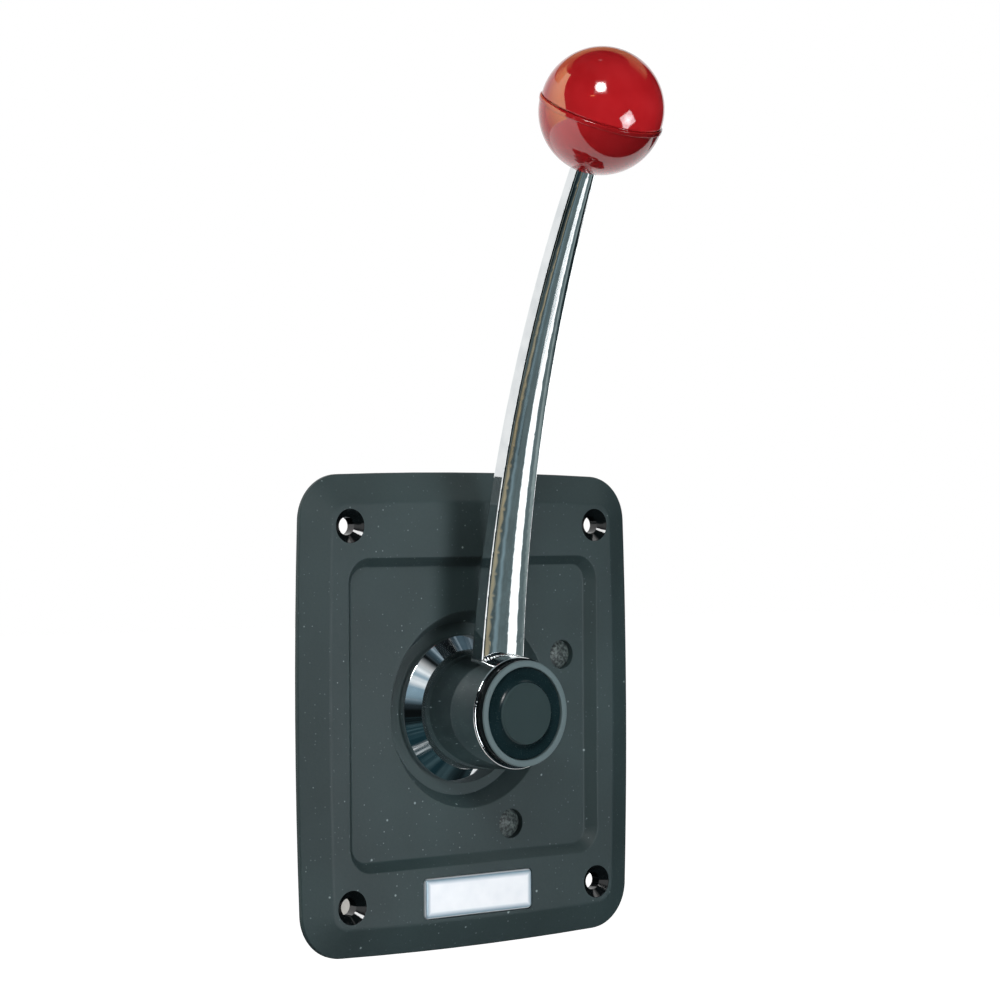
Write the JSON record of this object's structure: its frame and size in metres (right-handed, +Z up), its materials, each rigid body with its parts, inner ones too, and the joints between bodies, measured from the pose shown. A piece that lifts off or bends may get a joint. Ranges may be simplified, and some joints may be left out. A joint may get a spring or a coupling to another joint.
{
  "type": "boat throttle control lever",
  "caption": "Side-mount single-lever boat engine control with ball knob, neutral button, cover plate and gear mechanism behind the panel.",
  "frame": {"origin": "on the lever shaft's axis, in the plane of the cover plate's back, which lies on the panel; also the centre of the four mounting screws", "axes": "+Y along the lever shaft into the panel, so the front of the plate faces -Y; +Z up, towards the knob; +X to the viewer's right"},
  "size_m": [0.1388, 0.1716, 0.2969],
  "materials": {
    "plate_plastic": "moulded glass-filled nylon, fine grain, satin",
    "badge_metal": "pearl silver lacquered aluminium, bare",
    "polished_metal": "polished and chrome plated",
    "knob_plastic": "glossy red moulded phenolic",
    "button_plastic": "glossy black moulded plastic",
    "brass_insert": "turned brass",
    "swivel_brass": "machined brass",
    "machined_steel": "machined, zinc plated",
    "spring_steel": "drawn stainless wire and strip",
    "cast_housing": "die cast, as cast",
    "bush_plastic": "moulded acetal",
    "seal_rubber": "moulded nitrile"
  },
  "bodies": {
    "panel_unit": {"cover_plate": "plate_plastic", "name_plate": "badge_metal", "mech_housing": "cast_housing", "rear_cover": "cast_housing", "main_bushes": "bush_plastic", "shift_bushes": "bush_plastic", "shaft_seal": "seal_rubber", "housing_screws": "machined_steel", "detent_ball": "machined_steel", "detent_spring": "spring_steel", "detent_plug": "machined_steel", "friction_pad": "bush_plastic", "friction_screw": "machined_steel", "friction_locknut": "machined_steel", "cable_bracket": "machined_steel", "throttle_clamp": "bush_plastic", "shift_clamp": "bush_plastic", "clamp_screws": "machined_steel"},
    "lever": {"lever_hub": "polished_metal", "hub_flange": "polished_metal", "lever_arm": "polished_metal", "knob_lower": "knob_plastic", "knob_upper": "knob_plastic", "knob_insert": "brass_insert", "button_ring": "button_plastic", "button_spring": "spring_steel", "hub_grub_screw": "machined_steel", "main_shaft": "machined_steel", "drive_pinion": "machined_steel", "detent_disc": "machined_steel", "thrust_washer": "bush_plastic", "throttle_crank": "machined_steel", "crank_washer": "machined_steel", "crank_nut": "machined_steel"},
    "button": {"neutral_button": "button_plastic", "push_rod": "machined_steel", "clutch_pin": "machined_steel"},
    "throttle_cable_swivel": {"throttle_swivel": "swivel_brass", "throttle_swivel_clip": "spring_steel"},
    "shift_train": {"shift_gear": "machined_steel", "shift_shaft": "machined_steel", "shift_arm": "machined_steel", "shift_washer": "machined_steel", "shift_nut": "machined_steel"},
    "shift_cable_swivel": {"shift_swivel": "swivel_brass", "shift_swivel_clip": "spring_steel"}
  },
  "joints": [
    {"name": "lever_swing", "type": "hinge", "parent": "panel_unit", "child": "lever", "pos_m": [0, 0, 0], "axis": [0, 1, 0], "range_deg": [-80, 80]},
    {"name": "button_press", "type": "slide", "parent": "lever", "child": "button", "axis": [0, 1, 0], "range_m": [0, 0.004], "stiffness_N_per_m": 1500, "springref_m": -0.003, "deforming": ["button_spring"]},
    {"name": "shift_swing", "type": "hinge", "parent": "panel_unit", "child": "shift_train", "pos_m": [0, 0, 0.042], "axis": [0, 1, 0], "range_deg": [-32.5, 32.5]},
    {"name": "throttle_swivel_turn", "type": "hinge", "parent": "lever", "child": "throttle_cable_swivel", "pos_m": [0, 0, -0.03], "axis": [0, 1, 0], "range_deg": [-90, 90]},
    {"name": "shift_swivel_turn", "type": "hinge", "parent": "shift_train", "child": "shift_cable_swivel", "pos_m": [0.04, 0, 0.042], "axis": [0, 1, 0], "range_deg": [-45, 45]}
  ],
  "couplings": [
    {"joint": "shift_swing", "follows": "lever_swing", "ratio": -0.4}
  ]
}
